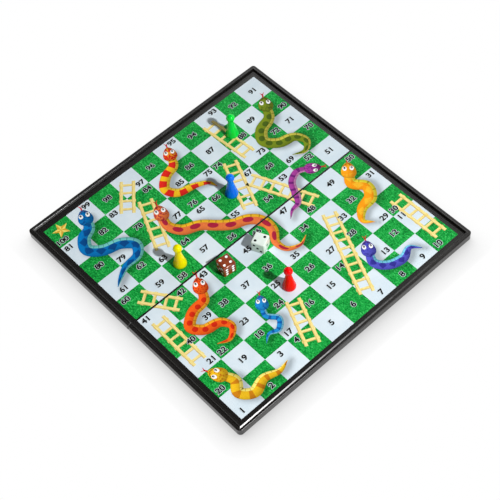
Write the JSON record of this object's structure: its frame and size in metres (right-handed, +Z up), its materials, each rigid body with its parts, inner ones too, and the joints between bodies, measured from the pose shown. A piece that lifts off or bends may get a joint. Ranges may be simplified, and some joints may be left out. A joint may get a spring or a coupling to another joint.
{
  "type": "snakes and ladders board",
  "caption": "Folding magnetic snakes and ladders board with a black rim, its hinge links hidden in the thickness, with cone pawns and dice standing on it.",
  "frame": {"origin": "middle of the open board on the fold line, at the underside", "axes": "+X from square 1 to square 10, +Y from the first row to the last across the fold, +Z up out of the printed surface"},
  "size_m": [0.258, 0.2636, 0.0306],
  "materials": {
    "tray": "black moulded plastic with a satin gloss",
    "base_panel": "fine matt texture",
    "steel_plate": "bare rolled sheet",
    "play_sheet": "printed film under a satin laminate, green and white squares in a black border",
    "hinge_link": "moulded, smooth",
    "hinge_pin": "drawn wire",
    "magnet": "dull nickel plate",
    "red_pawn": "moulded, glossy",
    "yellow_pawn": "moulded, glossy",
    "blue_pawn": "moulded, glossy",
    "green_pawn": "moulded, glossy",
    "white_die": "glossy, with black pips",
    "brown_die": "glossy, with white pips"
  },
  "bodies": {
    "front_half": {"front_tray": "tray", "front_base_panel": "base_panel", "front_steel_plate": "steel_plate", "front_play_sheet": "play_sheet", "front_hinge_pins": "hinge_pin", "front_closing_magnets": "magnet"},
    "hinge_links": {"left_hinge_link": "hinge_link", "right_hinge_link": "hinge_link"},
    "back_half": {"back_tray": "tray", "back_base_panel": "base_panel", "back_steel_plate": "steel_plate", "back_play_sheet": "play_sheet", "back_hinge_pins": "hinge_pin", "back_closing_magnets": "magnet"},
    "red_piece": {"red_pawn": "red_pawn", "red_pawn_magnet": "magnet"},
    "yellow_piece": {"yellow_pawn": "yellow_pawn", "yellow_pawn_magnet": "magnet"},
    "blue_piece": {"blue_pawn": "blue_pawn", "blue_pawn_magnet": "magnet"},
    "green_piece": {"green_pawn": "green_pawn", "green_pawn_magnet": "magnet"},
    "white_cube": {"white_die": "white_die"},
    "brown_cube": {"brown_die": "brown_die"}
  },
  "joints": [
    {"name": "link_fold", "type": "hinge", "parent": "front_half", "child": "hinge_links", "pos_m": [0, -0.0016, 0.0015], "axis": [-1, 0, 0], "range_deg": [0, 90]},
    {"name": "half_fold", "type": "hinge", "parent": "hinge_links", "child": "back_half", "pos_m": [0, 0.0016, 0.0015], "axis": [-1, 0, 0], "range_deg": [0, 90]},
    {"name": "red_lift", "type": "slide", "parent": "front_half", "child": "red_piece", "axis": [0, 0, 1], "range_m": [0, 0.03]},
    {"name": "yellow_lift", "type": "slide", "parent": "back_half", "child": "yellow_piece", "axis": [0, 0, 1], "range_m": [0, 0.03]},
    {"name": "blue_lift", "type": "slide", "parent": "back_half", "child": "blue_piece", "axis": [0, 0, 1], "range_m": [0, 0.03]},
    {"name": "green_lift", "type": "slide", "parent": "back_half", "child": "green_piece", "axis": [0, 0, 1], "range_m": [0, 0.03]},
    {"name": "white_die_lift", "type": "slide", "parent": "front_half", "child": "white_cube", "axis": [0, 0, 1], "range_m": [0, 0.03]},
    {"name": "brown_die_lift", "type": "slide", "parent": "front_half", "child": "brown_cube", "axis": [0, 0, 1], "range_m": [0, 0.03]}
  ]
}
